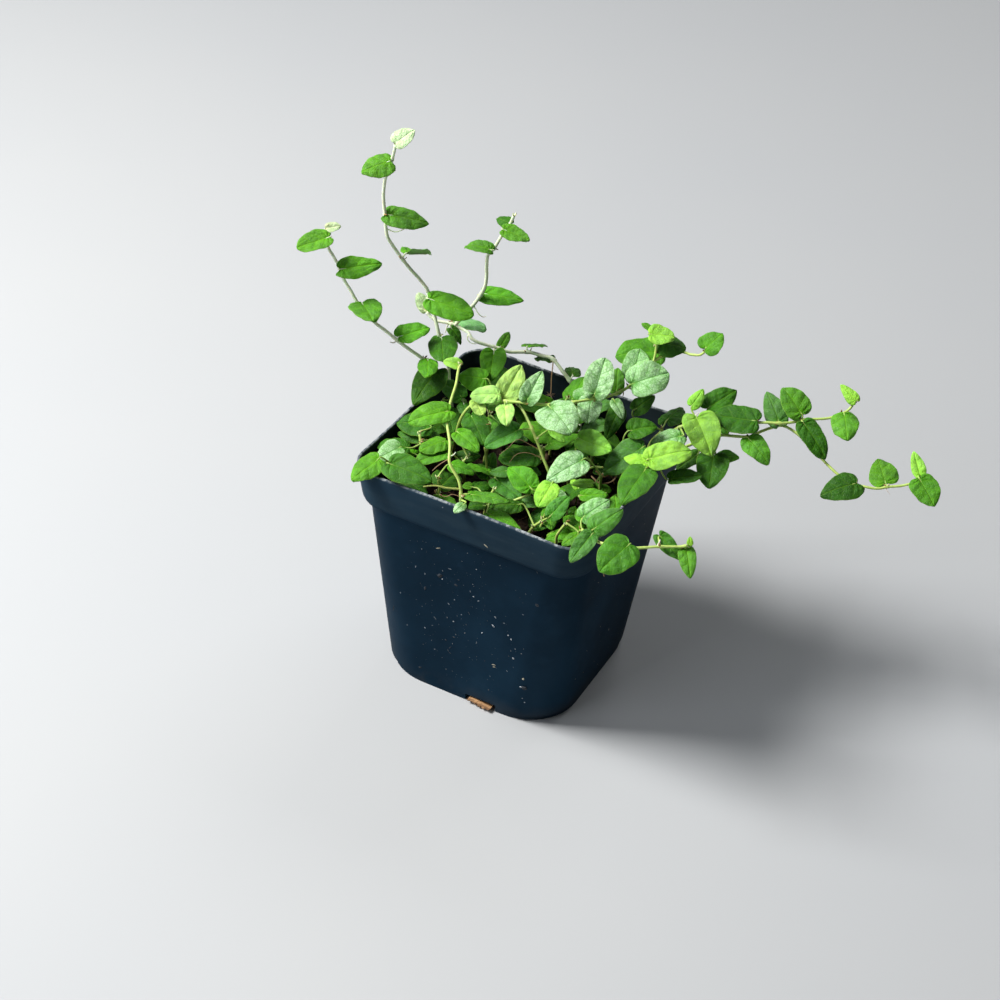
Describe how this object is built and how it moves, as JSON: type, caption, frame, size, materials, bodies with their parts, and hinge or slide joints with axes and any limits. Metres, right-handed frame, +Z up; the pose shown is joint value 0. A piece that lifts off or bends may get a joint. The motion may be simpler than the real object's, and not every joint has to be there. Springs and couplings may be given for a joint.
{
  "type": "potted creeping fig",
  "caption": "Small-leaved creeping fig with long trailing stems, growing in a square black plastic nursery pot with drain slots at its base.",
  "frame": {"origin": "centre of the pot's underside, on the surface it stands on", "axes": "+Z up, X and Y square to the pot's sides, -Y to the wide side seen in the picture"},
  "size_m": [0.2218, 0.1125, 0.1885],
  "materials": {
    "pot_plastic": "satin black injection-moulded plastic, scuffed and dusty",
    "potting_mix": "moist dark fibrous peat and bark",
    "foliage": "puckered green leaves with a soft sheen on pale stems"
  },
  "bodies": {
    "root": {"pot": "pot_plastic", "potting_mix": "potting_mix", "vine_tall_back": "foliage", "vine_left": "foliage", "vine_back": "foliage", "vine_across": "foliage", "vine_right_upper": "foliage", "vine_right_lower": "foliage", "vine_front_right": "foliage", "vine_over_left": "foliage", "vine_middle": "foliage", "sprig_01": "foliage", "sprig_02": "foliage", "sprig_03": "foliage", "sprig_04": "foliage", "sprig_05": "foliage", "sprig_06": "foliage", "sprig_07": "foliage", "sprig_08": "foliage", "sprig_09": "foliage", "sprig_10": "foliage", "sprig_11": "foliage", "sprig_12": "foliage", "sprig_13": "foliage", "sprig_14": "foliage", "sprig_15": "foliage", "sprig_16": "foliage", "sprig_17": "foliage", "sprig_18": "foliage", "sprig_19": "foliage", "sprig_20": "foliage", "sprig_21": "foliage", "sprig_22": "foliage", "sprig_23": "foliage", "sprig_24": "foliage", "sprig_25": "foliage"}
  },
  "joints": []
}
